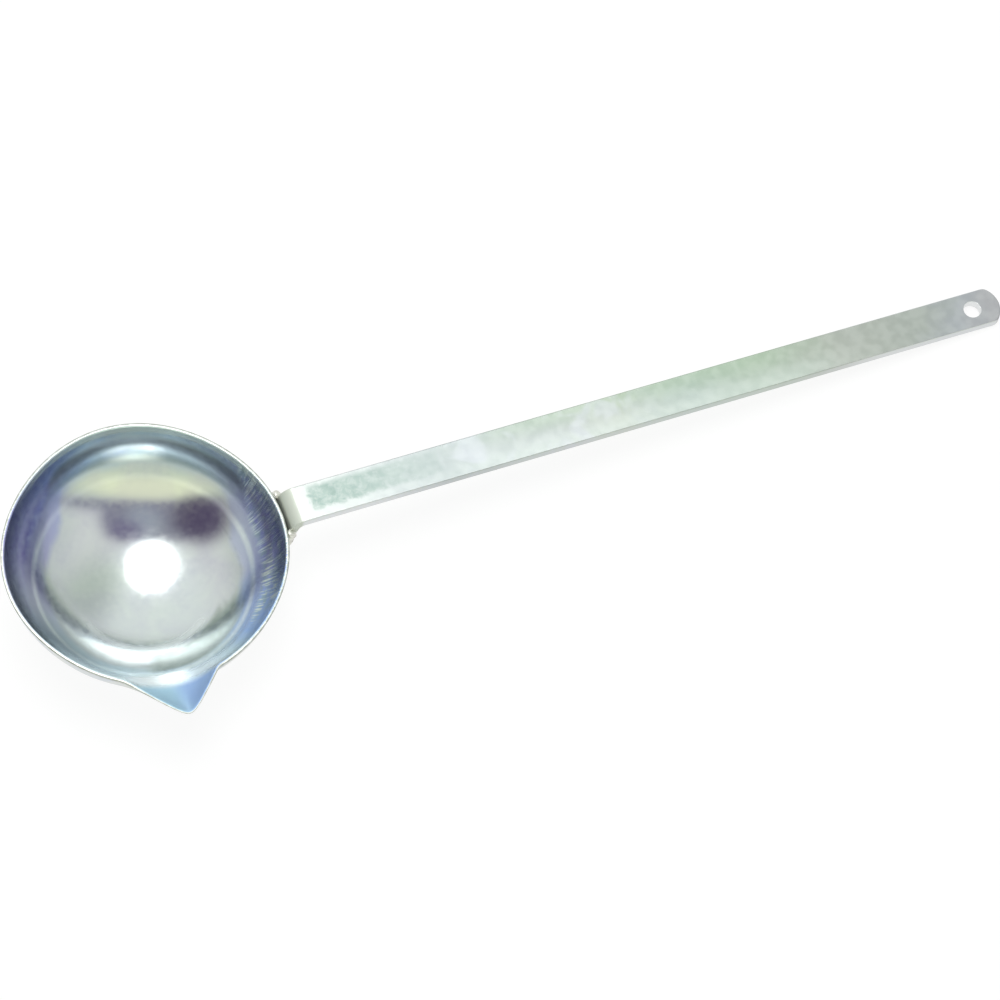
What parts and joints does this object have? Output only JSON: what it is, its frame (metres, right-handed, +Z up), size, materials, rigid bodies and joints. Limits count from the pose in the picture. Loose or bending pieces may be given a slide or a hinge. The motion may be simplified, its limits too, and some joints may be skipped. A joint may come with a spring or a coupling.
{
  "type": "melting ladle",
  "caption": "Pressed steel melting ladle: a round bowl with a pouring spout in its rim and a long flat bar handle, bent down and welded to the wall, with a hang hole at its end.",
  "frame": {"origin": "middle of the ladle's footprint, on the surface it rests on", "axes": "+X along the handle, from the bowl to the hang hole; -Y the way the spout points; +Z up from the surface. The ladle lies at rest on its round bottom and the handle's far end, so its rim leans about 6 degrees towards the handle"},
  "size_m": [0.3388, 0.1018, 0.0366],
  "materials": {
    "bowl_steel": "zinc plated with a blue, faintly iridescent passivation, glossy",
    "bar_steel": "zinc plated flat bar, satin, with pale blue-green mottling",
    "weld_steel": "zinc plated weld bead, rippled"
  },
  "bodies": {
    "root": {"bowl": "bowl_steel", "handle": "bar_steel", "weld_bead_spout_side": "weld_steel", "weld_bead_far_side": "weld_steel"}
  },
  "joints": []
}
